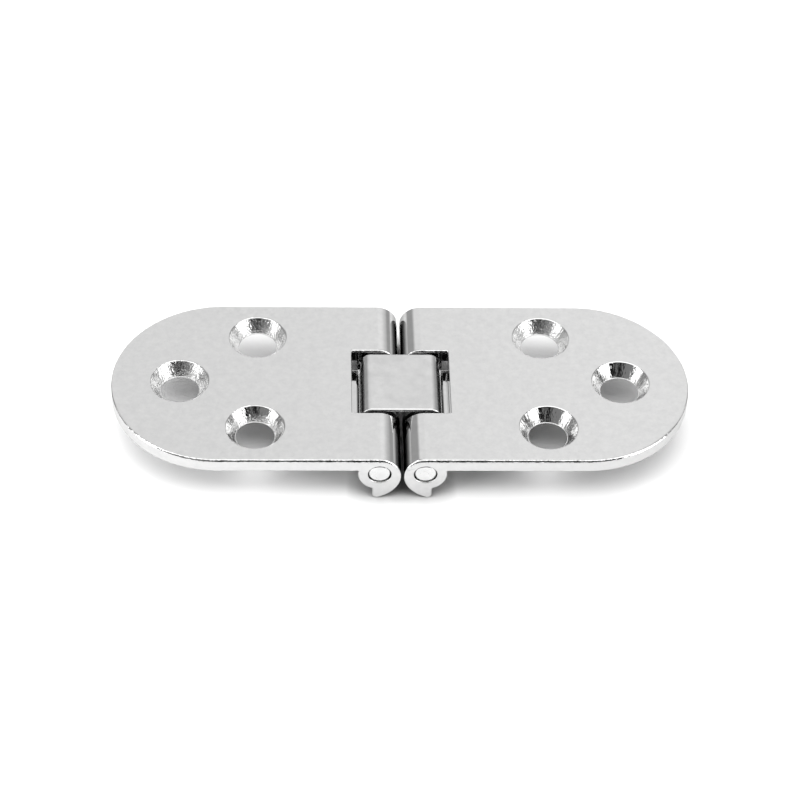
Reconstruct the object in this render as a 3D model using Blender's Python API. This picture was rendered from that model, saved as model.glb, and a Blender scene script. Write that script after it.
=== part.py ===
"""Flush double-pin table hinge: two like leaves, a centre link and two pins.

Metres, +Z up. The hinge lies open and flat. X runs along its length, Y along the pins, and the origin is
under its centre, level with the tips of the cam teeth that it stands on.
"""

import math

import bmesh
import bpy
from mathutils import Matrix

MM = 0.001

# Overall size of the open hinge
LENGTH = 80.0 * MM
WIDTH = 30.0 * MM
PLATE_THICKNESS = 2.0 * MM
RIM_ROUNDING = 0.45 * MM

# Pins and knuckles, whose tops are level with the leaf plates
PIN_SPACING = 6.2 * MM
PIN_RADIUS = 1.5 * MM
PIN_RECESS = 0.15 * MM
PIN_CHAMFER = 0.12 * MM
LEAF_BORE_RADIUS = 1.58 * MM
LINK_BORE_RADIUS = 1.55 * MM
KNUCKLE_RADIUS = 2.75 * MM
KNUCKLE_REAR_RADIUS = 2.95 * MM

# Cam tooth under each knuckle: the knuckle's inner side swells from its top, slowly and then faster, down to
# the tooth, which has a round tip and a steep back. Degrees are below the line towards the other pin.
TOOTH_REACH = 4.6 * MM
TOOTH_TIP_RADIUS = 0.62 * MM
TOOTH_TIP_OFFSET = 0.33 * MM
SWELL_START_DEG = -90.0
SWELL_END_DEG = 82.0
SWELL_FULL_DEG = 93.0
SWELL_POWER = 3.4

# Notch in each leaf, and the link that fills it, whose reach is counted from the pin axis
NOTCH_WIDTH = 12.0 * MM
NOTCH_REACH = 6.8 * MM
LINK_WIDTH = 11.0 * MM
LINK_REACH = 2.44 * MM
LINK_CORNER_RADIUS = 1.5 * MM
LINK_EDGE_BEVEL = 0.15 * MM

# Heel at each end of the link: a rib under the leaf plate comes down on it and stops the leaf at flat
HEEL_DEPTH = 0.42 * MM
HEEL_FILLET = 0.6 * MM
HEEL_REACH = 4.8 * MM
HEEL_NOSE_DEPTH = 1.3 * MM
HEEL_ROOT = 2.2 * MM
RIB_GAP = 0.3 * MM
RIB_THICKNESS = 1.4 * MM
RIB_WIDTH = 11.8 * MM

# Countersunk screw holes, as distances from the hinge's centre. The cone ends just above the underside.
SCREW_HOLES = ((20.0 * MM, -8.7 * MM), (20.0 * MM, 8.7 * MM), (30.6 * MM, 0.0))
SCREW_HOLE_RADIUS = 2.65 * MM
SCREW_HOLE_LAND = 0.1 * MM
COUNTERSINK_RADIUS = 4.0 * MM

# Facet counts of the round shapes
FACET_DEG = 7.5
END_ARC_FACETS = 36
HOLE_FACETS = 40
BORE_FACETS = 36
RIM_FACETS = 3

CUT_MARGIN = 2.0 * MM

END_RADIUS = WIDTH / 2
PIN_X = PIN_SPACING / 2
PIN_Z = TOOTH_REACH
LEAF_TOP = KNUCKLE_RADIUS
LEAF_UNDERSIDE = LEAF_TOP - PLATE_THICKNESS
LEAF_END = LENGTH / 2 - PIN_X


def clear_scene():
    for old in list(bpy.data.objects):
        bpy.data.objects.remove(old, do_unlink=True)


def make_material(name, colour, roughness):
    material = bpy.data.materials.new(name)
    material.use_nodes = True
    shader = material.node_tree.nodes["Principled BSDF"]
    shader.inputs["Base Color"].default_value = (*colour, 1.0)
    shader.inputs["Metallic"].default_value = 1.0
    shader.inputs["Roughness"].default_value = roughness
    return material


def arc(centre, radius, start_deg, end_deg):
    """Points along an arc from start_deg to end_deg, both ends included."""
    steps = max(1, round(abs(end_deg - start_deg) / FACET_DEG))
    points = []
    for i in range(steps + 1):
        angle = math.radians(start_deg + (end_deg - start_deg) * i / steps)
        points.append((centre[0] + radius * math.cos(angle), centre[1] + radius * math.sin(angle)))
    return points


def swell_radius(below_deg):
    """Distance of the cam from the pin axis, at an angle below the line towards the other pin."""
    share = (below_deg - SWELL_START_DEG) / (SWELL_FULL_DEG - SWELL_START_DEG)
    return KNUCKLE_RADIUS + (TOOTH_REACH - KNUCKLE_RADIUS) * share ** SWELL_POWER


def leaf_outline():
    """Side view of a leaf about its pin axis: +X away from the other leaf, second value up."""
    outline = [(LEAF_END, LEAF_TOP)]

    # the knuckle's inner side, from its flush top down to the tooth
    steps = round((SWELL_END_DEG - SWELL_START_DEG) / FACET_DEG)
    for i in range(steps + 1):
        below = SWELL_START_DEG + (SWELL_END_DEG - SWELL_START_DEG) * i / steps
        angle = math.radians(180.0 + below)
        reach = swell_radius(below)
        outline.append((reach * math.cos(angle), reach * math.sin(angle)))

    # the tooth's round tip and its steep back
    tip_centre = (TOOTH_TIP_OFFSET, TOOTH_TIP_RADIUS - TOOTH_REACH)
    outline += arc(tip_centre, TOOTH_TIP_RADIUS, 255.0, 360.0)
    tooth_back = TOOTH_TIP_OFFSET + TOOTH_TIP_RADIUS
    back_deg = math.degrees(math.acos(tooth_back / KNUCKLE_REAR_RADIUS))

    # the rear of the knuckle, up to the underside of the plate
    plate_deg = math.degrees(math.asin(LEAF_UNDERSIDE / KNUCKLE_REAR_RADIUS))
    outline += arc((0.0, 0.0), KNUCKLE_REAR_RADIUS, -back_deg, plate_deg)
    outline.append((LEAF_END, LEAF_UNDERSIDE))
    return outline


def link_outline():
    """Side view of the link about the middle of its pin axes: a round-cornered block with two heels."""
    end = PIN_X + LINK_REACH
    corner = (end - LINK_CORNER_RADIUS, LEAF_TOP - LINK_CORNER_RADIUS)
    right = arc(corner, LINK_CORNER_RADIUS, 90.0, 0.0)
    right += arc((end + HEEL_FILLET, HEEL_FILLET - HEEL_DEPTH), HEEL_FILLET, 180.0, 270.0)
    right.append((PIN_X + HEEL_REACH, -HEEL_DEPTH))
    right.append((PIN_X + HEEL_REACH, -HEEL_DEPTH - HEEL_NOSE_DEPTH))
    right.append((PIN_X + HEEL_ROOT, -KNUCKLE_RADIUS))
    left = [(-x, z) for x, z in reversed(right)]
    return right + left


def box_outline(left, right, low, high):
    return ((left, low), (right, low), (right, high), (left, high))


def plan_outline():
    """Top view of a leaf about its pin axis, with its half-round end, open past the knuckle."""
    centre = LEAF_END - END_RADIUS
    inner = -(TOOTH_REACH + CUT_MARGIN)
    outline = [(inner, -END_RADIUS)]
    for i in range(END_ARC_FACETS + 1):
        angle = math.pi * (i / END_ARC_FACETS - 0.5)
        outline.append((centre + END_RADIUS * math.cos(angle), END_RADIUS * math.sin(angle)))
    outline.append((inner, END_RADIUS))
    return outline


def mesh_from(name, shape):
    """Turns a bmesh into a mesh whose faces point out, shaded smooth between its sharp edges."""
    bmesh.ops.recalc_face_normals(shape, faces=shape.faces)
    mesh = bpy.data.meshes.new(name)
    shape.to_mesh(mesh)
    shape.free()
    mesh.shade_smooth()
    mesh.set_sharp_from_angle(angle=math.radians(30.0))
    return mesh


def extruded(name, corners, direction):
    """A prism: the flat outline through corners, extruded along direction."""
    shape = bmesh.new()
    face = shape.faces.new([shape.verts.new(corner) for corner in corners])
    moved = bmesh.ops.extrude_face_region(shape, geom=[face])["geom"]
    top = [item for item in moved if isinstance(item, bmesh.types.BMVert)]
    bmesh.ops.translate(shape, verts=top, vec=direction)
    return mesh_from(name, shape)


def side_prism(name, outline, width):
    """A side view extruded along Y, centred on Y = 0."""
    return extruded(name, [(x, -width / 2, z) for x, z in outline], (0.0, width, 0.0))


def cylinder(name, radius, length, facets):
    """A cylinder along Y, centred on the origin."""
    shape = bmesh.new()
    turn = Matrix.Rotation(math.pi / 2, 4, "X")
    bmesh.ops.create_cone(
        shape, cap_ends=True, segments=facets, radius1=radius, radius2=radius, depth=length, matrix=turn
    )
    return mesh_from(name, shape)


def screw_hole(name):
    """A countersunk hole's cutter, turned about Z, with its mouth at Z = 0."""
    cone_depth = PLATE_THICKNESS - SCREW_HOLE_LAND
    slope = (COUNTERSINK_RADIUS - SCREW_HOLE_RADIUS) / cone_depth
    profile = (
        (0.0, -PLATE_THICKNESS - CUT_MARGIN),
        (SCREW_HOLE_RADIUS, -PLATE_THICKNESS - CUT_MARGIN),
        (SCREW_HOLE_RADIUS, -cone_depth),
        (COUNTERSINK_RADIUS + slope * CUT_MARGIN, CUT_MARGIN),
        (0.0, CUT_MARGIN),
    )
    shape = bmesh.new()
    points = [shape.verts.new((x, 0.0, z)) for x, z in profile]
    edges = [shape.edges.new(pair) for pair in zip(points, points[1:])]
    bmesh.ops.spin(
        shape, geom=points + edges, cent=(0.0, 0.0, 0.0), axis=(0.0, 0.0, 1.0),
        angle=math.tau, steps=HOLE_FACETS, use_merge=True,
    )
    bmesh.ops.remove_doubles(shape, verts=shape.verts, dist=0.001 * MM)
    return mesh_from(name, shape)


def add_object(name, mesh, location, material=None):
    item = bpy.data.objects.new(name, mesh)
    bpy.context.collection.objects.link(item)
    item.location = location
    if material:
        mesh.materials.clear()
        mesh.materials.append(material)
    return item


def cut(target, cutter, operation="DIFFERENCE"):
    """Adds a Boolean to target, and hides its cutter, which moves with it."""
    cutter.parent = target
    cutter.hide_render = True
    cutter.display_type = "WIRE"
    boolean = target.modifiers.new(cutter.name, "BOOLEAN")
    boolean.operation = operation
    boolean.solver = "EXACT"
    boolean.object = cutter


def round_edges(item, width, segments):
    bevel = item.modifiers.new("edges", "BEVEL")
    bevel.width = width
    bevel.segments = segments
    bevel.limit_method = "ANGLE"
    bevel.angle_limit = math.radians(50.0)


def build_leaf(side, direction, material):
    """One leaf, with its origin on its own pin axis. direction is +1 to the right, -1 to the left."""
    mesh = side_prism(f"{side}_leaf", leaf_outline(), WIDTH)
    leaf = add_object(f"{side}_leaf", mesh, (direction * PIN_X, 0.0, PIN_Z), material)
    leaf.rotation_euler.z = 0.0 if direction > 0 else math.pi

    floor = -(TOOTH_REACH + CUT_MARGIN)
    corners = [(x, y, floor) for x, y in plan_outline()]
    plan_mesh = extruded(f"{side}_plan", corners, (0.0, 0.0, LEAF_TOP - floor))
    plan = add_object(f"{side}_plan", plan_mesh, (0.0, 0.0, 0.0))
    round_edges(plan, RIM_ROUNDING, RIM_FACETS)
    cut(leaf, plan, "INTERSECT")

    # the rib starts inside the notch and inside the plate, so that the notch's cut trims its face
    reach = NOTCH_REACH - PIN_X
    rib_outline = box_outline(
        reach - RIB_THICKNESS / 2, reach + RIB_THICKNESS, RIB_GAP - HEEL_DEPTH, LEAF_TOP - PLATE_THICKNESS / 2
    )
    rib = add_object(f"{side}_rib", side_prism(f"{side}_rib", rib_outline, RIB_WIDTH), (0.0, 0.0, 0.0))
    cut(leaf, rib, "UNION")

    notch_outline = box_outline(floor, reach, floor, LEAF_TOP + CUT_MARGIN)
    notch_mesh = side_prism(f"{side}_notch", notch_outline, NOTCH_WIDTH)
    cut(leaf, add_object(f"{side}_notch", notch_mesh, (0.0, 0.0, 0.0)))

    bore = cylinder(f"{side}_bore", LEAF_BORE_RADIUS, WIDTH + CUT_MARGIN, BORE_FACETS)
    cut(leaf, add_object(f"{side}_bore", bore, (0.0, 0.0, 0.0)))

    for number, (x, y) in enumerate(SCREW_HOLES, start=1):
        name = f"{side}_screw_hole_{number}"
        cut(leaf, add_object(name, screw_hole(name), (x - PIN_X, y, LEAF_TOP)))


def build_link(material):
    mesh = side_prism("centre_link", link_outline(), LINK_WIDTH)
    link = add_object("centre_link", mesh, (0.0, 0.0, PIN_Z), material)
    round_edges(link, LINK_EDGE_BEVEL, 1)
    for side, direction in SIDES:
        bore = cylinder(f"link_bore_{side}", LINK_BORE_RADIUS, LINK_WIDTH + CUT_MARGIN, BORE_FACETS)
        cut(link, add_object(f"link_bore_{side}", bore, (direction * PIN_X, 0.0, 0.0)))


def build_pin(side, direction, material):
    mesh = cylinder(f"{side}_pin", PIN_RADIUS, WIDTH - 2 * PIN_RECESS, BORE_FACETS)
    pin = add_object(f"{side}_pin", mesh, (direction * PIN_X, 0.0, PIN_Z), material)
    round_edges(pin, PIN_CHAMFER, 1)


SIDES = (("left", -1), ("right", 1))


def main():
    clear_scene()
    for side, direction in SIDES:
        build_leaf(side, direction, make_material(f"{side}_leaf_plating", (0.78, 0.78, 0.77), 0.16))
        build_pin(side, direction, make_material(f"{side}_pin_steel", (0.72, 0.72, 0.72), 0.22))
    build_link(make_material("centre_link_plating", (0.76, 0.76, 0.75), 0.18))


main()
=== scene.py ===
"""Looks for the flush double-pin table hinge: finely rounded plated castings, a link and two pins.

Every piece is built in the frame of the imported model. Lengths are metres, +X along the open hinge, +Y along
the pins, +Z up.
"""

import math

import bmesh
import bpy
from mathutils import Matrix, Vector


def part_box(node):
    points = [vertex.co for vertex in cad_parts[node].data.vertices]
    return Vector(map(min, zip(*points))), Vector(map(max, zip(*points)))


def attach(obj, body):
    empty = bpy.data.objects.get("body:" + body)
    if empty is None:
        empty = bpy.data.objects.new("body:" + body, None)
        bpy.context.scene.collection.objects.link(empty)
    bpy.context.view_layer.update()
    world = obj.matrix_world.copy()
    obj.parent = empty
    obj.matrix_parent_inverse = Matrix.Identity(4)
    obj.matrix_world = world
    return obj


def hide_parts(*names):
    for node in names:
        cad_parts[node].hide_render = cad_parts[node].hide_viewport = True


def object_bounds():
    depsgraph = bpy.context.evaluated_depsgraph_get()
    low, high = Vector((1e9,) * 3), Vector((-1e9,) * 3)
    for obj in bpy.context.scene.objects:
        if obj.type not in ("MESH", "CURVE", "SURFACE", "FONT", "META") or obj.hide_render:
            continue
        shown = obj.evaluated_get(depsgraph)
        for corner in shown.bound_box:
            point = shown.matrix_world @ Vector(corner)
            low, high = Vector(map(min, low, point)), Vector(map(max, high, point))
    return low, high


MM = 0.001

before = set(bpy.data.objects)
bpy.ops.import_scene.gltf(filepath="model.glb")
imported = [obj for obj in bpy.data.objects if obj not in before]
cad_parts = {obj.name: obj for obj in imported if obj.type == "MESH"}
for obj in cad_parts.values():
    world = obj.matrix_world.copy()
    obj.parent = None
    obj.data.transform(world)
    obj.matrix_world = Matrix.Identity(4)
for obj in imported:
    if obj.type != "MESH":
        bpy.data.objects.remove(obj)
cad_low, cad_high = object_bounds()

# ---------------------------------------------------------------- sizes, from the frame where it has them
HALF_LENGTH = cad_high.x
WIDTH = cad_high.y - cad_low.y
TOP = cad_high.z
PIN_LOW, PIN_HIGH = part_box("right_pin")
PIN_X = (PIN_LOW.x + PIN_HIGH.x) / 2
PIN_Z = (PIN_LOW.z + PIN_HIGH.z) / 2
PIN_RADIUS = (PIN_HIGH.z - PIN_LOW.z) / 2
PIN_LENGTH = PIN_HIGH.y - PIN_LOW.y
LINK_LOW, LINK_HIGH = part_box("centre_link")

PLATE_THICKNESS = 2.0 * MM
KNUCKLE_RADIUS = TOP - PIN_Z
KNUCKLE_REAR_RADIUS = 2.95 * MM
LEAF_BORE_RADIUS = 1.58 * MM
LINK_BORE_RADIUS = 1.55 * MM
NOTCH_WIDTH = 12.0 * MM
NOTCH_REACH = 6.8 * MM
TOOTH_TIP_RADIUS = 0.62 * MM
TOOTH_TIP_OFFSET = 0.33 * MM
TOOTH_TIP_START_DEG = 255.0
SWELL_START_DEG = -90.0
SWELL_END_DEG = 82.0
SWELL_FULL_DEG = 93.0
SWELL_POWER = 3.4
LINK_REACH = 2.44 * MM
LINK_CORNER_RADIUS = 1.5 * MM
HEEL_DEPTH = 0.42 * MM
HEEL_FILLET = 0.6 * MM
HEEL_NOSE_DEPTH = 1.3 * MM
HEEL_ROOT = 2.2 * MM
RIB_GAP = 0.3 * MM
RIB_THICKNESS = 1.4 * MM
RIB_WIDTH = 11.8 * MM
SCREW_HOLES = ((20.0 * MM, -8.7 * MM), (20.0 * MM, 8.7 * MM), (30.6 * MM, 0.0))
SCREW_HOLE_RADIUS = 2.65 * MM
SCREW_HOLE_LAND = 0.1 * MM
SCREW_HOLE_STEP = 0.09 * MM
COUNTERSINK_RADIUS = 4.0 * MM

# Edge roundings. The rim's is widest at the front. It runs into the knuckle's over RIM_FADE_DEG past the top
# of the knuckle, and the wider rounding at the back of the notch runs out the same way.
RIM_ROUNDING = 0.47 * MM
RIM_BACK_ROUNDING = 0.15 * MM
KNUCKLE_ROUNDING = 0.22 * MM
RIM_FADE_DEG = 60.0
NOTCH_BACK_ROUNDING = 0.45 * MM
NOTCH_BACK_FADE_DEG = 80.0
SMALL_ROUNDING = 0.13 * MM
HOLE_STEP_ROUNDING = 0.04 * MM
LINK_ROUNDING = 0.32 * MM
PIN_ROUNDING = 0.30 * MM
MOST_ROUNDING = 1.0 * MM
ROUNDING_SEGMENTS = 5
SHARP_DEG = 25.0
# The front shoulder of each knuckle is worn: how much more it is rounded, how many degrees past the top of
# the knuckle, and over how many degrees
SHOULDER_WEAR = {"left": (0.10 * MM, 40.0, 30.0), "right": (0.22 * MM, 34.0, 24.0)}
# The left leaf's countersinks lean a little, so that the inner part of each mouth is rounded more
LEAN_ROUNDING = {"left": 0.12 * MM, "right": 0.0}
LEAN_DEG = 200.0
LEAN_POWER = 1.5

ARC_STEP_DEG = 4.0
END_ARC_FACETS = 96
HOLE_FACETS = 72
BORE_FACETS = 64
FLAT_FACE_WEIGHT = 80
MARGIN = 2.0 * MM

END_RADIUS = WIDTH / 2
TOOTH_REACH = PIN_Z
LEAF_TOP = KNUCKLE_RADIUS
LEAF_UNDERSIDE = LEAF_TOP - PLATE_THICKNESS
LEAF_END = HALF_LENGTH - PIN_X
LINK_WIDTH = LINK_HIGH.y - LINK_LOW.y
HEEL_REACH = LINK_HIGH.x - PIN_X
PAST_TOOTH = TOOTH_REACH + MARGIN

# How close counts as on a surface or as the same point, and where each kind of edge or face is looked for
ON_SURFACE = 0.02 * MM
ON_NOTCH = 0.01 * MM
ON_END = 0.05 * MM
SAME_POINT = 0.001 * MM
SLIVER = 0.002 * MM
OUTSIDE_BORE = 1.02 * LEAF_BORE_RADIUS
MOUTH_SEARCH = 1.05 * COUNTERSINK_RADIUS
KNUCKLE_SEARCH = 1.2 * TOOTH_REACH
CONE_NORMAL_Z = (0.1, 0.98)

# How far up each countersink was left rough, in the order of SCREW_HOLES, as a share of its depth
ROUGH_SHARE = {"left": (0.85, 0.45, 0.9), "right": (-0.5, 0.85, -0.5)}
# Where in the noise each leaf's streaks start, so that no two holes are alike
STREAK_SHIFT = {"left": 5.0, "right": 23.0}

# ---------------------------------------------------------------- camera
# It looks at the middle of the top face, moved up in its own plane by AIM_ABOVE.
CAMERA_LENS = 101.87
CAMERA_DISTANCE = 313.83 * MM
CAMERA_ELEVATION_DEG = 45.79
CAMERA_TURN_DEG = 2.90
CAMERA_ROLL_DEG = 2.23
AIM_ABOVE = -2.57 * MM
SENSOR_WIDTH = 36.0
CLIP_NEAR = 0.01
CLIP_FAR = 10.0

# ---------------------------------------------------------------- light
# The floor's grey as the camera sees it and as the plating mirrors it, and how far its painted contact shadow
# reaches
FLOOR_HALF_SIZE = 1.5
FLOOR_SEEN = 0.85
FLOOR_MIRRORED = 0.66
PAPER_ROUGHNESS = 0.9
PAPER_SPECULAR = 0.1
SHADE_REACH = 3.5 * MM
# The key lamp: how far it is behind and left of straight overhead, and its half angles as seen from the
# hinge, across and from front to back
KEY_DISTANCE = 1.0
KEY_BEHIND_DEG = 7.0
KEY_LEFT_DEG = 2.5
KEY_HALF_ANGLES_DEG = (59.0, 37.0)
KEY_POWER = 14.4
FILL_PLACE = (-130.0 * MM, -85.0 * MM, 55.0 * MM)
FILL_AIM = (-30.0 * MM, -20.0 * MM, 0.0)
FILL_SIZE = 80.0 * MM
FILL_POWER = 0.14

# The tent's panels: (azimuth low, high, softness), (elevation low, high, softness), brightness. Azimuth is in
# degrees, 0 behind the hinge and growing to the right. Later panels cover earlier ones.
PANELS = (
    ((-190, 190, 5), (-100, 5, 3), 0.95),
    ((-190, 190, 5), (5, 100, 4), 0.42),
    ((60, 100, 5), (-5, 30, 5), 0.32),
    ((-100, -60, 5), (-5, 30, 5), 0.32),
    ((-10, 60, 20), (22, 100, 5), 1.0),
    ((-32, 15, 5), (22, 100, 5), 0.955),
    ((4, 60, 10), (22, 100, 5), 1.045),
    ((36, 90, 16), (5, 62, 4), 0.42),
    ((98, 144, 4), (2, 60, 6), 3.2),
    ((-131, -95, 4), (2, 60, 6), 3.2),
    ((-190, -119, 1), (2, 50, 4), 0.012),
    ((136, 190, 1), (2, 50, 4), 0.012),
    ((161, 169, 1), (2, 50, 4), 0.30),
    ((-168, -119, 3), (2, 50, 4), 0.26),
    ((-190, 190, 5), (62, 100, 6), 1.9),
)

# ---------------------------------------------------------------- finishes
# Each noise: scale, detail, roughness. The scale is per metre, and for the streaks per unit of around_hole.
NOISES = {
    "leaf mottle": (1000.0, 5.0, 0.65),
    "leaf wave": (900.0, 2.0, 0.5),
    "rim nicks": (1500.0, 3.0, 0.6),
    "scuffs": (2400.0, 3.0, 0.6),
    "ragged edge": (2600.0, 3.0, 0.6),
    "streaks": (13.0, 2.0, 0.5),
    "pits": (3400.0, 2.0, 0.5),
    "link mottle": (500.0, 4.0, 0.6),
    "link marks": (5200.0, 4.0, 0.65),
    "pin mottle": (900.0, 4.0, 0.5),
    "pin dents": (1300.0, 4.0, 0.6),
}
# How high the noises stand as bumps
RELIEF = {
    "leaf wave": 0.0016 * MM,
    "rim nicks": 0.10 * MM,
    "streaks": 0.05 * MM,
    "pits": 0.06 * MM,
    "link marks": 0.0007 * MM,
    "pin dents": 0.012 * MM,
}
# The darkest and the lightest tint of each finish
TINTS = {
    "leaf": ((0.665, 0.665, 0.665), (0.725, 0.725, 0.722)),
    "link": ((0.60, 0.60, 0.60), (0.69, 0.69, 0.688)),
    "pin": ((0.74, 0.74, 0.74), (0.84, 0.84, 0.838)),
}
# Painted shade: the dark colour of faces that point down, standing for shade under the plate
UNDERSIDE_SHADE_COLOUR = (0.32, 0.32, 0.32)
# Painted shade: the dark colour where the knuckles face each other and on the notch walls, standing for shade
# in the gap and the notch
PAINTED_GAP_SHADE = (0.22, 0.22, 0.22)

# The noise values that are stretched over a whole range
MOTTLE_SPREAD = (0.32, 0.68)
FINE_SPREAD = (0.35, 0.65)

# Roughness: the leaves, what the rough part of a countersink and the underside add to it, the link, what its
# satin top adds, and the pins
LEAF_ROUGHNESS = (0.04, 0.08)
ROUGH_PART_ADDS = 0.14
UNDERSIDE_ADDS = 0.35
LINK_ROUGHNESS = 0.07
SATIN_ADDS = (0.14, 0.20)
PIN_ROUGHNESS = (0.14, 0.28)

# Where each part of the leaf's finish and its painted shade fades in: by its mark, its normal or its distance
# from the middle.
# RIM_TILT is a window's low, high and softness.
MARKED_FADE = (0.1, 0.4)
# DOWN_FADE places the rougher underside and the shade painted on it
DOWN_FADE = (0.4, 0.8)
RIM_TILT = (0.12, 0.96, 0.03)
RIM_SIDEWAYS_FADE = (0.10, 0.30)
# The knuckle and notch fades place the painted shade between the knuckles and on the notch walls
KNUCKLE_STEEP_FADE = (0.62, 1.0)
KNUCKLE_FADE = (2.6 * MM, 3.1 * MM)
NOTCH_SIDE_FADE = (NOTCH_WIDTH / 2 + 0.2 * MM, NOTCH_WIDTH / 2 + 0.4 * MM)
NOTCH_END_FADE = (NOTCH_REACH + 0.1 * MM, NOTCH_REACH + 0.2 * MM)
NOTCH_LEVEL_FADE = (0.30, 0.55)

# The ragged edge of a countersink's rough part, the pitting above and in it, and how far the streaks and the
# polishing marks are drawn out: a small factor is a long stretch
RAGGED_HEIGHT = 0.5
ROUGH_EDGE_FADE = (-0.35, -0.15)
FINE_PITTING = 0.14
ROUGH_PITTING = 0.86
STREAK_STRETCH = (1.0, 1.0, 0.20)
MARK_STRETCH = (0.06, 1.0, 1.0)


# ---------------------------------------------------------------- outlines
def arc(centre, radius, start_deg, end_deg):
    """Points along an arc, both ends included."""
    steps = max(1, round(abs(end_deg - start_deg) / ARC_STEP_DEG))
    points = []
    for i in range(steps + 1):
        angle = math.radians(start_deg + (end_deg - start_deg) * i / steps)
        points.append((centre[0] + radius * math.cos(angle), centre[1] + radius * math.sin(angle)))
    return points


def swell_radius(below_deg):
    """Distance of the cam from the pin axis, at an angle below the line towards the other pin."""
    share = (below_deg - SWELL_START_DEG) / (SWELL_FULL_DEG - SWELL_START_DEG)
    return KNUCKLE_RADIUS + (TOOTH_REACH - KNUCKLE_RADIUS) * share ** SWELL_POWER


def leaf_outline():
    """Side view of a leaf about its pin axis: first value away from the other leaf, second value up."""
    outline = [(LEAF_END, LEAF_TOP)]
    steps = round((SWELL_END_DEG - SWELL_START_DEG) / ARC_STEP_DEG)
    for i in range(steps + 1):
        below = SWELL_START_DEG + (SWELL_END_DEG - SWELL_START_DEG) * i / steps
        angle = math.radians(180.0 + below)
        radius = swell_radius(below)
        outline.append((radius * math.cos(angle), radius * math.sin(angle)))
    tip_centre = (TOOTH_TIP_OFFSET, TOOTH_TIP_RADIUS - TOOTH_REACH)
    outline += arc(tip_centre, TOOTH_TIP_RADIUS, TOOTH_TIP_START_DEG, 360.0)
    back_deg = math.degrees(math.acos((TOOTH_TIP_OFFSET + TOOTH_TIP_RADIUS) / KNUCKLE_REAR_RADIUS))
    plate_deg = math.degrees(math.asin(LEAF_UNDERSIDE / KNUCKLE_REAR_RADIUS))
    outline += arc((0.0, 0.0), KNUCKLE_REAR_RADIUS, -back_deg, plate_deg)
    outline.append((LEAF_END, LEAF_UNDERSIDE))
    return outline


def link_outline():
    """Side view of the link about the middle of its pin axes: a round-cornered block with two heels."""
    end = PIN_X + LINK_REACH
    corner = (end - LINK_CORNER_RADIUS, LEAF_TOP - LINK_CORNER_RADIUS)
    right = arc(corner, LINK_CORNER_RADIUS, 90.0, 0.0)
    right += arc((end + HEEL_FILLET, HEEL_FILLET - HEEL_DEPTH), HEEL_FILLET, 180.0, 270.0)
    right.append((PIN_X + HEEL_REACH, -HEEL_DEPTH))
    right.append((PIN_X + HEEL_REACH, -HEEL_DEPTH - HEEL_NOSE_DEPTH))
    right.append((PIN_X + HEEL_ROOT, -KNUCKLE_RADIUS))
    return right + [(-x, z) for x, z in reversed(right)]


def box_outline(left, right, low, high):
    """Side view of a box."""
    return ((left, low), (right, low), (right, high), (left, high))


def plan_outline():
    """Top view of a leaf about its pin axis, open past the knuckle."""
    centre = LEAF_END - END_RADIUS
    outline = [(-PAST_TOOTH, -END_RADIUS)]
    for i in range(END_ARC_FACETS + 1):
        angle = math.pi * (i / END_ARC_FACETS - 0.5)
        outline.append((centre + END_RADIUS * math.cos(angle), END_RADIUS * math.sin(angle)))
    outline.append((-PAST_TOOTH, END_RADIUS))
    return outline


# ---------------------------------------------------------------- mesh tools
def prism(corners, direction):
    """The flat outline through corners, extruded along direction, as a bmesh."""
    shape = bmesh.new()
    face = shape.faces.new([shape.verts.new(corner) for corner in corners])
    extruded = bmesh.ops.extrude_face_region(shape, geom=[face])["geom"]
    moved = [part for part in extruded if isinstance(part, bmesh.types.BMVert)]
    bmesh.ops.translate(shape, verts=moved, vec=direction)
    bmesh.ops.recalc_face_normals(shape, faces=shape.faces)
    return shape


def side_prism(outline, width):
    """A side view extruded along Y, width wide, about the middle."""
    return prism([(x, -width / 2, z) for x, z in outline], (0.0, width, 0.0))


def turned_hole(x, y):
    """A countersunk hole's cutter at x, y on the leaf's top face."""
    cone_depth = PLATE_THICKNESS - SCREW_HOLE_LAND
    cone_radius = SCREW_HOLE_RADIUS + SCREW_HOLE_STEP
    slope = (COUNTERSINK_RADIUS - cone_radius) / cone_depth
    profile = (
        (0.0, -PLATE_THICKNESS - MARGIN),
        (SCREW_HOLE_RADIUS, -PLATE_THICKNESS - MARGIN),
        (SCREW_HOLE_RADIUS, -cone_depth),
        (cone_radius, -cone_depth),
        (COUNTERSINK_RADIUS + slope * MARGIN, MARGIN),
        (0.0, MARGIN),
    )
    shape = bmesh.new()
    points = [shape.verts.new((r, 0.0, z)) for r, z in profile]
    edges = [shape.edges.new(pair) for pair in zip(points, points[1:])]
    bmesh.ops.spin(
        shape, geom=points + edges, cent=(0.0, 0.0, 0.0), axis=(0.0, 0.0, 1.0),
        angle=math.tau, steps=HOLE_FACETS, use_merge=True,
    )
    bmesh.ops.remove_doubles(shape, verts=shape.verts, dist=SAME_POINT)
    bmesh.ops.recalc_face_normals(shape, faces=shape.faces)
    bmesh.ops.translate(shape, verts=shape.verts, vec=(x, y, LEAF_TOP))
    return shape


def cylinder(radius, length, facets, x=0.0):
    """A cylinder along Y through x."""
    shape = bmesh.new()
    place = Matrix.Translation((x, 0.0, 0.0)) @ Matrix.Rotation(math.pi / 2, 4, "X")
    bmesh.ops.create_cone(
        shape, cap_ends=True, segments=facets, radius1=radius, radius2=radius, depth=length, matrix=place
    )
    return shape


def to_object(name, shape):
    """An object made of a bmesh, which is used up."""
    mesh = bpy.data.meshes.new(name)
    shape.to_mesh(mesh)
    shape.free()
    item = bpy.data.objects.new(name, mesh)
    bpy.context.scene.collection.objects.link(item)
    return item


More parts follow.
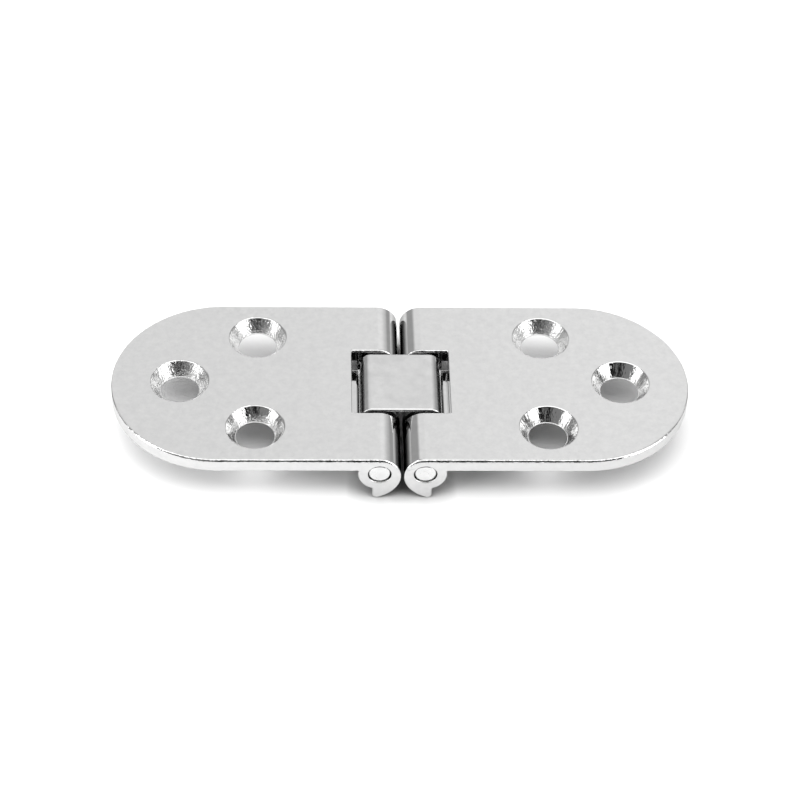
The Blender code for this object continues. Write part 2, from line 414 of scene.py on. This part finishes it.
def baked(item):
    """Replaces an object's modifiers by their result."""
    bpy.context.view_layer.update()
    graph = bpy.context.evaluated_depsgraph_get()
    mesh = bpy.data.meshes.new_from_object(item.evaluated_get(graph), depsgraph=graph)
    item.modifiers.clear()
    old = item.data
    item.data = mesh
    bpy.data.meshes.remove(old)
    mesh.name = item.name


def carve(item, cutters):
    """Applies (shape, operation) Booleans to item one after another."""
    for number, (shape, operation) in enumerate(cutters):
        cutter = to_object(f"cutter_{number}", shape)
        boolean = item.modifiers.new("cut", "BOOLEAN")
        boolean.operation = operation
        boolean.solver = "EXACT"
        boolean.object = cutter
        baked(item)
        spent = cutter.data
        bpy.data.objects.remove(cutter)
        bpy.data.meshes.remove(spent)


def drop_slivers(item):
    """Merges the almost equal points that the Booleans leave, and drops the faces with no area."""
    shape = bmesh.new()
    shape.from_mesh(item.data)
    bmesh.ops.remove_doubles(shape, verts=shape.verts, dist=SLIVER)
    bmesh.ops.dissolve_degenerate(shape, edges=shape.edges, dist=SLIVER)
    shape.to_mesh(item.data)
    shape.free()


def round_edges(item, width_at):
    """Rounds every sharp edge. width_at gives the rounding's size at an edge's middle."""
    shape = bmesh.new()
    shape.from_mesh(item.data)
    layers = shape.edges.layers.float
    weight = layers.get("bevel_weight_edge") or layers.new("bevel_weight_edge")
    for edge in shape.edges:
        sharp = len(edge.link_faces) == 2 and edge.calc_face_angle() > math.radians(SHARP_DEG)
        middle = (edge.verts[0].co + edge.verts[1].co) / 2
        edge[weight] = width_at(middle) / MOST_ROUNDING if sharp else 0.0
    for face in shape.faces:
        face.smooth = True
    shape.to_mesh(item.data)
    shape.free()
    bevel = item.modifiers.new("edges", "BEVEL")
    bevel.limit_method = "WEIGHT"
    bevel.width = MOST_ROUNDING
    bevel.segments = ROUNDING_SEGMENTS
    bevel.use_clamp_overlap = False
    bevel.loop_slide = False
    bevel.miter_outer = "MITER_ARC"
    baked(item)


def keep_faces_flat(item):
    """Shades the roundings smoothly and the large faces flat."""
    weighted = item.modifiers.new("flat faces stay flat", "WEIGHTED_NORMAL")
    weighted.weight = FLAT_FACE_WEIGHT
    weighted.keep_sharp = False


def mark_countersinks(leaf, side):
    """Marks the cone of each screw hole with its finish, and runs coordinates around and up it."""
    mesh = leaf.data
    low_z, high_z = CONE_NORMAL_Z
    finish = mesh.attributes.new("countersink", "FLOAT", "FACE")
    around = mesh.attributes.new("around_hole", "FLOAT_VECTOR", "CORNER")
    for number, (x, y) in enumerate(SCREW_HOLES):
        axis = Vector((x - PIN_X, y))
        for face in mesh.polygons:
            outside = (face.center.xy - axis).length > COUNTERSINK_RADIUS + SMALL_ROUNDING / 2
            if outside or not low_z < face.normal.z < high_z:
                continue
            finish.data[face.index].value = 1.0 + ROUGH_SHARE[side][number]
            for corner in face.loop_indices:
                point = mesh.vertices[mesh.loops[corner].vertex_index].co
                way = (point.xy - axis).normalized()
                height = (point.z - LEAF_UNDERSIDE) / PLATE_THICKNESS
                around.data[corner].vector = (way.x + STREAK_SHIFT[side] * (number + 1), way.y, height)


# ---------------------------------------------------------------- pieces
def front_way(side):
    """Which way along Y the front is in a leaf's own frame: the left leaf is turned half a turn later."""
    return 1.0 if side == "left" else -1.0


def degrees_past_top(point):
    """How far round the knuckle a point is from its top, towards the other leaf."""
    return math.degrees(math.atan2(-point.x, point.z))


def top_share(point, fade_deg):
    """1 on the flat top, falling to 0 over fade_deg past the top of the knuckle, and 0 under the plate."""
    past_top = degrees_past_top(point)
    if past_top > 0:
        return max(1.0 - past_top / fade_deg, 0.0)
    return 1.0 if point.z > LEAF_TOP - ON_SURFACE else 0.0


def mouth_rounding(side, way):
    """Rounding of a countersink's mouth, in the direction way from the hole's axis."""
    lean = math.radians(LEAN_DEG)
    towards = way.normalized().dot(Vector((math.cos(lean), math.sin(lean))))
    return SMALL_ROUNDING + LEAN_ROUNDING[side] * max(towards, 0.0) ** LEAN_POWER


def outer_rounding(side, point):
    """Rounding of the rim and of the edges of the knuckles' outer faces."""
    wear, worst_deg, spread_deg = SHOULDER_WEAR[side]
    front = point.y * front_way(side) > 0
    worn = wear * math.exp(-(((degrees_past_top(point) - worst_deg) / spread_deg) ** 2)) if front else 0.0
    outwards = Vector((max(point.x - (LEAF_END - END_RADIUS), 0.0), point.y)).normalized()
    front_share = max(outwards.y * front_way(side), 0.0)
    rim = RIM_BACK_ROUNDING + (RIM_ROUNDING - RIM_BACK_ROUNDING) * front_share
    return KNUCKLE_ROUNDING + (rim - KNUCKLE_ROUNDING) * top_share(point, RIM_FADE_DEG) + worn


def leaf_rounding(side, point):
    """Rounding of a leaf's edge at point."""
    for x, y in SCREW_HOLES:
        way = point.xy - Vector((x - PIN_X, y))
        if way.length < MOUTH_SEARCH:
            return mouth_rounding(side, way) if point.z > LEAF_TOP - ON_SURFACE else HOLE_STEP_ROUNDING
    from_end = point.xy - Vector((LEAF_END - END_RADIUS, 0.0))
    outer_side = abs(abs(point.y) - END_RADIUS) < ON_SURFACE
    outer_end = from_end.x > 0 and from_end.length > END_RADIUS - ON_END
    from_pin = Vector((point.x, point.z)).length
    on_knuckle = outer_side and OUTSIDE_BORE < from_pin < KNUCKLE_SEARCH
    on_rim = (outer_side or outer_end) and point.z > LEAF_TOP - ON_SURFACE
    if on_knuckle or on_rim:
        return outer_rounding(side, point)
    back = point.y * front_way(side) < 0
    on_notch_side = abs(abs(point.y) - NOTCH_WIDTH / 2) < ON_NOTCH
    if on_notch_side and back and OUTSIDE_BORE < from_pin:
        wider = NOTCH_BACK_ROUNDING - SMALL_ROUNDING
        return SMALL_ROUNDING + wider * top_share(point, NOTCH_BACK_FADE_DEG)
    return SMALL_ROUNDING


def make_leaf(side, direction):
    """A leaf: its side view, cut to its plan, with the rib, notch, bore and screw holes."""
    leaf = to_object(f"{side}_leaf_casting", side_prism(leaf_outline(), WIDTH + MARGIN))
    low = -PAST_TOOTH
    high = LEAF_TOP + MARGIN
    notch_end = NOTCH_REACH - PIN_X
    plan = prism([(x, y, low) for x, y in plan_outline()], (0.0, 0.0, high - low))
    rib_outline = box_outline(
        notch_end - RIB_THICKNESS / 2, notch_end + RIB_THICKNESS,
        RIB_GAP - HEEL_DEPTH, LEAF_TOP - PLATE_THICKNESS / 2,
    )
    notch = side_prism(box_outline(low, notch_end, low, high), NOTCH_WIDTH)
    cutters = [(plan, "INTERSECT"), (side_prism(rib_outline, RIB_WIDTH), "UNION"), (notch, "DIFFERENCE")]
    cutters.append((cylinder(LEAF_BORE_RADIUS, WIDTH + MARGIN, BORE_FACETS), "DIFFERENCE"))
    cutters += [(turned_hole(x - PIN_X, y), "DIFFERENCE") for x, y in SCREW_HOLES]
    carve(leaf, cutters)
    drop_slivers(leaf)
    round_edges(leaf, lambda point: leaf_rounding(side, point))
    mark_countersinks(leaf, side)
    keep_faces_flat(leaf)
    turn = Matrix.Rotation(0.0 if direction > 0 else math.pi, 4, "Z")
    leaf.data.transform(Matrix.Translation((direction * PIN_X, 0.0, PIN_Z)) @ turn)
    return leaf


def make_link():
    """The link block with its two bores."""
    link = to_object("centre_link_block", side_prism(link_outline(), LINK_WIDTH))
    bores = [cylinder(LINK_BORE_RADIUS, LINK_WIDTH + MARGIN, BORE_FACETS, x) for x in (-PIN_X, PIN_X)]
    carve(link, [(bore, "DIFFERENCE") for bore in bores])
    drop_slivers(link)
    round_edges(link, lambda point: LINK_ROUNDING)
    keep_faces_flat(link)
    link.data.transform(Matrix.Translation((0.0, 0.0, PIN_Z)))
    return link


def make_pin(side, direction):
    """A hinge pin with rounded ends."""
    pin = to_object(f"{side}_hinge_pin", cylinder(PIN_RADIUS, PIN_LENGTH, BORE_FACETS))
    round_edges(pin, lambda point: PIN_ROUNDING)
    keep_faces_flat(pin)
    pin.data.transform(Matrix.Translation((direction * PIN_X, 0.0, PIN_Z)))
    return pin


# ---------------------------------------------------------------- material tools
def new_material(name):
    """A material with its nodes, links and main shader."""
    material = bpy.data.materials.new(name)
    material.use_nodes = True
    nodes = material.node_tree.nodes
    return material, nodes, material.node_tree.links, nodes["Principled BSDF"]


def new_metal(name):
    """A metal's material with its nodes, links and main shader."""
    material, nodes, links, shader = new_material(name)
    shader.inputs["Metallic"].default_value = 1.0
    return material, nodes, links, shader


def math_node(nodes, links, operation, *values):
    """A math node whose inputs are numbers or other nodes' outputs."""
    node = nodes.new("ShaderNodeMath")
    node.operation = operation
    for socket, value in zip(node.inputs, values):
        if isinstance(value, bpy.types.NodeSocket):
            links.new(value, socket)
        else:
            socket.default_value = value
    return node.outputs[0]


def absolute(nodes, links, value):
    """The value without its sign."""
    return math_node(nodes, links, "ABSOLUTE", value)


def one_minus(nodes, links, value):
    """1 less the value."""
    return math_node(nodes, links, "SUBTRACT", 1.0, value)


def ramp_up(nodes, links, value, low, high):
    """0 where value is under low, 1 where it is over high, and smooth between them."""
    node = nodes.new("ShaderNodeMapRange")
    node.interpolation_type = "SMOOTHSTEP"
    links.new(value, node.inputs["Value"])
    node.inputs["From Min"].default_value = low
    node.inputs["From Max"].default_value = high
    return node.outputs["Result"]


def window(nodes, links, value, low, high, soft):
    """1 where value is between low and high, falling to 0 over soft on either side."""
    rise = ramp_up(nodes, links, value, low - soft, low + soft)
    fall = ramp_up(nodes, links, value, high - soft, high + soft)
    return math_node(nodes, links, "SUBTRACT", rise, fall)


def object_point(nodes):
    """The point being shaded, in the frame of the rest pose."""
    return nodes.new("ShaderNodeTexCoord").outputs["Object"]


def attribute(nodes, name):
    """A node that reads one of the mesh's own attributes."""
    node = nodes.new("ShaderNodeAttribute")
    node.attribute_name = name
    return node


def separated(nodes, links, vector):
    """The three coordinates of a vector."""
    node = nodes.new("ShaderNodeSeparateXYZ")
    links.new(vector, node.inputs[0])
    return tuple(node.outputs)


def stretched(nodes, links, vector, scale):
    """vector with each coordinate multiplied by its own scale."""
    node = nodes.new("ShaderNodeVectorMath")
    node.operation = "MULTIPLY"
    links.new(vector, node.inputs[0])
    node.inputs[1].default_value = scale
    return node.outputs[0]


def noise(nodes, links, vector, name):
    """One of the NOISES at a point."""
    node = nodes.new("ShaderNodeTexNoise")
    links.new(vector, node.inputs["Vector"])
    for socket, number in zip(("Scale", "Detail", "Roughness"), NOISES[name]):
        node.inputs[socket].default_value = number
    return node.outputs["Fac"]


def remap(nodes, links, value, low, high, to_low, to_high):
    """Stretches low to high over to_low to to_high."""
    node = nodes.new("ShaderNodeMapRange")
    links.new(value, node.inputs["Value"])
    for name, number in (("From Min", low), ("From Max", high), ("To Min", to_low), ("To Max", to_high)):
        node.inputs[name].default_value = number
    return node.outputs["Result"]


def mix_node(nodes, links, factor, second):
    """A node that mixes colours by factor, up to the fixed colour second."""
    node = nodes.new("ShaderNodeMix")
    node.data_type = "RGBA"
    links.new(factor, node.inputs["Factor"])
    node.inputs["B"].default_value = (*second, 1.0)
    return node


def mottled(nodes, links, point, finish):
    """The colour of a finish, between its two tints."""
    dark, light = TINTS[finish]
    mottle = noise(nodes, links, point, f"{finish} mottle")
    node = mix_node(nodes, links, remap(nodes, links, mottle, *MOTTLE_SPREAD, 0.0, 1.0), light)
    node.inputs["A"].default_value = (*dark, 1.0)
    return node.outputs["Result"]


def mixed(nodes, links, factor, first, second):
    """Goes from the first colour, another node's output, to the second, a fixed colour."""
    node = mix_node(nodes, links, factor, second)
    links.new(first, node.inputs["A"])
    return node.outputs["Result"]


def bump(nodes, links, height, name, under=None):
    """Raises the surface by height times its RELIEF. A second bump goes on top of the one under it."""
    node = nodes.new("ShaderNodeBump")
    node.inputs["Distance"].default_value = RELIEF[name]
    node.inputs["Strength"].default_value = 1.0
    links.new(height, node.inputs["Height"])
    if under is not None:
        links.new(under, node.inputs["Normal"])
    return node.outputs["Normal"]


# ---------------------------------------------------------------- materials
def rim_faces(nodes, links, facing, in_hole):
    """1 on the rounded edges that face the front or the back, and 0 in the screw holes."""
    _, facing_y, facing_z = facing
    tilted = window(nodes, links, facing_z, *RIM_TILT)
    sideways = ramp_up(nodes, links, absolute(nodes, links, facing_y), *RIM_SIDEWAYS_FADE)
    rounded = math_node(nodes, links, "MULTIPLY", tilted, sideways)
    return math_node(nodes, links, "MULTIPLY", rounded, one_minus(nodes, links, in_hole))


def painted_gap_and_notch_shade(nodes, links, point, facing):
    """1 where the knuckles face each other and on the walls of the notch, where shade is painted into the
    colour.
    """
    x, y, _ = separated(nodes, links, point)
    facing_x, _, facing_z = facing
    from_middle = absolute(nodes, links, x)
    steep = ramp_up(nodes, links, absolute(nodes, links, facing_x), *KNUCKLE_STEEP_FADE)
    near_middle = one_minus(nodes, links, ramp_up(nodes, links, from_middle, *KNUCKLE_FADE))
    between = math_node(nodes, links, "MULTIPLY", steep, near_middle)
    past_side = ramp_up(nodes, links, absolute(nodes, links, y), *NOTCH_SIDE_FADE)
    past_end = ramp_up(nodes, links, from_middle, *NOTCH_END_FADE)
    level = ramp_up(nodes, links, absolute(nodes, links, facing_z), *NOTCH_LEVEL_FADE)
    past_notch = math_node(nodes, links, "MAXIMUM", past_side, past_end)
    notch_wall = one_minus(nodes, links, math_node(nodes, links, "MAXIMUM", past_notch, level))
    return math_node(nodes, links, "MAXIMUM", between, notch_wall)


def rough_part(nodes, links, point, marked, around):
    """1 in a countersink up to its ROUGH_SHARE, with a ragged edge."""
    _, _, height = separated(nodes, links, around)
    share = math_node(nodes, links, "SUBTRACT", marked, 1.0)
    ragged = noise(nodes, links, point, "ragged edge")
    level = math_node(nodes, links, "MULTIPLY_ADD", ragged, RAGGED_HEIGHT, height)
    return ramp_up(nodes, links, math_node(nodes, links, "SUBTRACT", share, level), *ROUGH_EDGE_FADE)


def leaf_relief(nodes, links, point, around, rim, in_hole, rough):
    """Waviness all over, nicks on the rims, and streaks and pits in the countersinks."""
    wave = bump(nodes, links, noise(nodes, links, point, "leaf wave"), "leaf wave")
    nicks = math_node(nodes, links, "MULTIPLY", noise(nodes, links, point, "rim nicks"), rim)
    nicked = bump(nodes, links, nicks, "rim nicks", wave)
    streaks = noise(nodes, links, stretched(nodes, links, around, STREAK_STRETCH), "streaks")
    streaked = bump(nodes, links, math_node(nodes, links, "MULTIPLY", streaks, in_hole), "streaks", nicked)
    pitting = math_node(nodes, links, "MULTIPLY_ADD", rough, ROUGH_PITTING, FINE_PITTING)
    pits = math_node(nodes, links, "MULTIPLY", noise(nodes, links, point, "pits"), in_hole)
    return bump(nodes, links, math_node(nodes, links, "MULTIPLY", pits, pitting), "pits", streaked)


def make_leaf_plating():
    """Bright nickel: mottled, wavy, nicked rims, rougher underneath; shade is painted underneath and in the
    gaps.
    """
    material, nodes, links, shader = new_metal("leaf_plating")
    point = object_point(nodes)
    facing = separated(nodes, links, nodes.new("ShaderNodeTexCoord").outputs["Normal"])
    marked = attribute(nodes, "countersink").outputs["Fac"]
    around = attribute(nodes, "around_hole").outputs["Vector"]
    in_hole = ramp_up(nodes, links, marked, *MARKED_FADE)
    rim = rim_faces(nodes, links, facing, in_hole)
    downwards = math_node(nodes, links, "MULTIPLY", facing[2], -1.0)
    under = ramp_up(nodes, links, downwards, *DOWN_FADE)
    rough = rough_part(nodes, links, point, marked, around)

    # Painted shade: darker on faces that point down
    underside_shaded = mixed(nodes, links, under, mottled(nodes, links, point, "leaf"), UNDERSIDE_SHADE_COLOUR)
    # Painted shade: darker where the knuckles face each other and on the notch walls
    shade_mask = painted_gap_and_notch_shade(nodes, links, point, facing)
    links.new(mixed(nodes, links, shade_mask, underside_shaded, PAINTED_GAP_SHADE), shader.inputs["Base Color"])

    scuffs = noise(nodes, links, point, "scuffs")
    scuffed = remap(nodes, links, scuffs, *FINE_SPREAD, *LEAF_ROUGHNESS)
    roughened = math_node(nodes, links, "MULTIPLY_ADD", rough, ROUGH_PART_ADDS, scuffed)
    roughness = math_node(nodes, links, "MULTIPLY_ADD", under, UNDERSIDE_ADDS, roughened)
    links.new(roughness, shader.inputs["Roughness"])
    links.new(leaf_relief(nodes, links, point, around, rim, in_hole, rough), shader.inputs["Normal"])
    return material


def make_link_plating():
    """Mottled bright nickel with fine marks along its length, satin on top and polished lower down."""
    material, nodes, links, shader = new_metal("link_plating")
    point = object_point(nodes)
    links.new(mottled(nodes, links, point, "link"), shader.inputs["Base Color"])
    marks = noise(nodes, links, stretched(nodes, links, point, MARK_STRETCH), "link marks")
    _, _, z = separated(nodes, links, point)
    high_up = ramp_up(nodes, links, z, PIN_Z, PIN_Z + LINK_CORNER_RADIUS)
    satin = remap(nodes, links, marks, *FINE_SPREAD, *SATIN_ADDS)
    roughness = math_node(nodes, links, "MULTIPLY_ADD", satin, high_up, LINK_ROUGHNESS)
    links.new(roughness, shader.inputs["Roughness"])
    links.new(bump(nodes, links, marks, "link marks"), shader.inputs["Normal"])
    return material


def make_pin_steel():
    """Plated steel with slightly uneven, staked ends."""
    material, nodes, links, shader = new_metal("pin_steel")
    point = object_point(nodes)
    dents = noise(nodes, links, point, "pin dents")
    links.new(mottled(nodes, links, point, "pin"), shader.inputs["Base Color"])
    links.new(remap(nodes, links, dents, *FINE_SPREAD, *PIN_ROUGHNESS), shader.inputs["Roughness"])
    links.new(bump(nodes, links, dents, "pin dents"), shader.inputs["Normal"])
    return material


# ---------------------------------------------------------------- stage
def paper(shader, grey):
    """Makes a shader plain paper."""
    shader.inputs["Base Color"].default_value = (grey, grey, grey, 1.0)
    shader.inputs["Roughness"].default_value = PAPER_ROUGHNESS
    shader.inputs["Specular IOR Level"].default_value = PAPER_SPECULAR


def seen_or_mirrored(nodes, links, seen, mirrored, output):
    """Shows one shader to the camera and another to every other ray."""
    either = nodes.new("ShaderNodeMixShader")
    links.new(nodes.new("ShaderNodeLightPath").outputs["Is Camera Ray"], either.inputs["Fac"])
    links.new(mirrored.outputs[0], either.inputs[1])
    links.new(seen.outputs[0], either.inputs[2])
    links.new(either.outputs[0], output.inputs["Surface"])


def make_floor():
    """White paper that is overexposed where it is seen directly, and less bright in the plating. Where it is
    seen directly, a contact shadow near the hinge is painted into its grey.
    """
    shape = bmesh.new()
    bmesh.ops.create_grid(shape, x_segments=1, y_segments=1, size=FLOOR_HALF_SIZE)
    floor = to_object("floor", shape)
    material, nodes, links, shader = new_material("floor_paper")
    paper(shader, FLOOR_MIRRORED)
    seen = nodes.new("ShaderNodeBsdfPrincipled")
    paper(seen, FLOOR_SEEN)
    # Painted contact shadow: ambient occlusion darkens the seen paper's grey within SHADE_REACH of the hinge
    painted_contact_shadow = nodes.new("ShaderNodeAmbientOcclusion")
    painted_contact_shadow.inputs["Color"].default_value = (FLOOR_SEEN, FLOOR_SEEN, FLOOR_SEEN, 1.0)
    painted_contact_shadow.inputs["Distance"].default_value = SHADE_REACH
    links.new(painted_contact_shadow.outputs["Color"], seen.inputs["Base Color"])
    seen_or_mirrored(nodes, links, seen, shader, nodes["Material Output"])
    floor.data.materials.append(material)


def add_lamp(name, location, rotation, size_x, size_y, power):
    """An oval lamp for the floor only: the plating mirrors the panels, not the lamps."""
    data = bpy.data.lights.new(name, "AREA")
    data.shape = "ELLIPSE"
    data.size = size_x
    data.size_y = size_y
    data.energy = power
    lamp = bpy.data.objects.new(name, data)
    bpy.context.scene.collection.objects.link(lamp)
    lamp.location = location
    lamp.rotation_euler = rotation
    lamp.visible_camera = False
    lamp.visible_glossy = False


def make_lamps():
    """An oval lamp overhead, a little behind and left, and a small fill lamp low at the left front."""
    tilt = math.radians(KEY_BEHIND_DEG)
    left = math.sin(math.radians(KEY_LEFT_DEG))
    key_place = Vector((-left, math.sin(tilt), math.cos(tilt))) * KEY_DISTANCE
    key_sizes = [2 * KEY_DISTANCE * math.tan(math.radians(half)) for half in KEY_HALF_ANGLES_DEG]
    add_lamp("key", key_place, (-tilt, 0.0, 0.0), *key_sizes, KEY_POWER)
    fill_turn = (Vector(FILL_AIM) - Vector(FILL_PLACE)).to_track_quat("-Z", "Y").to_euler()
    add_lamp("fill", FILL_PLACE, fill_turn, FILL_SIZE, FILL_SIZE, FILL_POWER)


def make_world():
    """A white tent of soft panels by direction, with a dark opening at the front. The camera sees white."""
    world = bpy.data.worlds.new("studio")
    bpy.context.scene.world = world
    world.use_nodes = True
    nodes = world.node_tree.nodes
    links = world.node_tree.links
    x, y, z = separated(nodes, links, nodes.new("ShaderNodeTexCoord").outputs["Generated"])
    azimuth = math_node(nodes, links, "DEGREES", math_node(nodes, links, "ARCTAN2", x, y))
    elevation = math_node(nodes, links, "DEGREES", math_node(nodes, links, "ARCSINE", z))
    level = None
    for across, upright, brightness in PANELS:
        in_azimuth = window(nodes, links, azimuth, *across)
        in_elevation = window(nodes, links, elevation, *upright)
        mix = nodes.new("ShaderNodeMix")
        links.new(math_node(nodes, links, "MULTIPLY", in_azimuth, in_elevation), mix.inputs["Factor"])
        mix.inputs["B"].default_value = brightness
        if level is None:
            mix.inputs["A"].default_value = brightness
        else:
            links.new(level, mix.inputs["A"])
        level = mix.outputs["Result"]
    tent = nodes["Background"]
    links.new(level, tent.inputs["Strength"])
    plain = nodes.new("ShaderNodeBackground")
    plain.inputs["Strength"].default_value = 1.0
    for background in (tent, plain):
        background.inputs["Color"].default_value = (1.0, 1.0, 1.0, 1.0)
    seen_or_mirrored(nodes, links, plain, tent, nodes["World Output"])


def make_camera():
    """The camera, aimed at the middle of the top face and turned and rolled a little."""
    data = bpy.data.cameras.new("camera")
    data.sensor_width = SENSOR_WIDTH
    data.lens = CAMERA_LENS
    data.clip_start = CLIP_NEAR
    data.clip_end = CLIP_FAR
    camera = bpy.data.objects.new("camera", data)
    bpy.context.scene.collection.objects.link(camera)
    tilt = math.radians(90.0 - CAMERA_ELEVATION_DEG)
    turn = Matrix.Rotation(-math.radians(CAMERA_TURN_DEG), 4, "Z") @ Matrix.Rotation(tilt, 4, "X")
    aim = Vector((0.0, 0.0, TOP))
    camera.matrix_world = (
        Matrix.Translation(aim) @ turn @ Matrix.Translation((0.0, AIM_ABOVE, CAMERA_DISTANCE))
        @ Matrix.Rotation(math.radians(CAMERA_ROLL_DEG), 4, "Z")
    )
    bpy.context.scene.camera = camera


def place(piece, body, node, slot_name, material):
    """Gives a piece its material and body, and hides the CAD node it replaces. slot_name is not used."""
    piece.data.materials.clear()
    piece.data.materials.append(material)
    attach(piece, body)
    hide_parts(node)


# ---------------------------------------------------------------- build
make_camera()
make_world()
make_floor()
make_lamps()
bpy.context.scene.view_settings.view_transform = "Standard"

leaf_plating = make_leaf_plating()
link_plating = make_link_plating()
pin_steel = make_pin_steel()

for side, direction in (("left", -1), ("right", 1)):
    place(make_leaf(side, direction), f"{side}_leaf", f"{side}_leaf", "leaf_plating", leaf_plating)
    place(make_pin(side, direction), f"{side}_leaf", f"{side}_pin", "pin_steel", pin_steel)
place(make_link(), "link", "centre_link", "link_plating", link_plating)
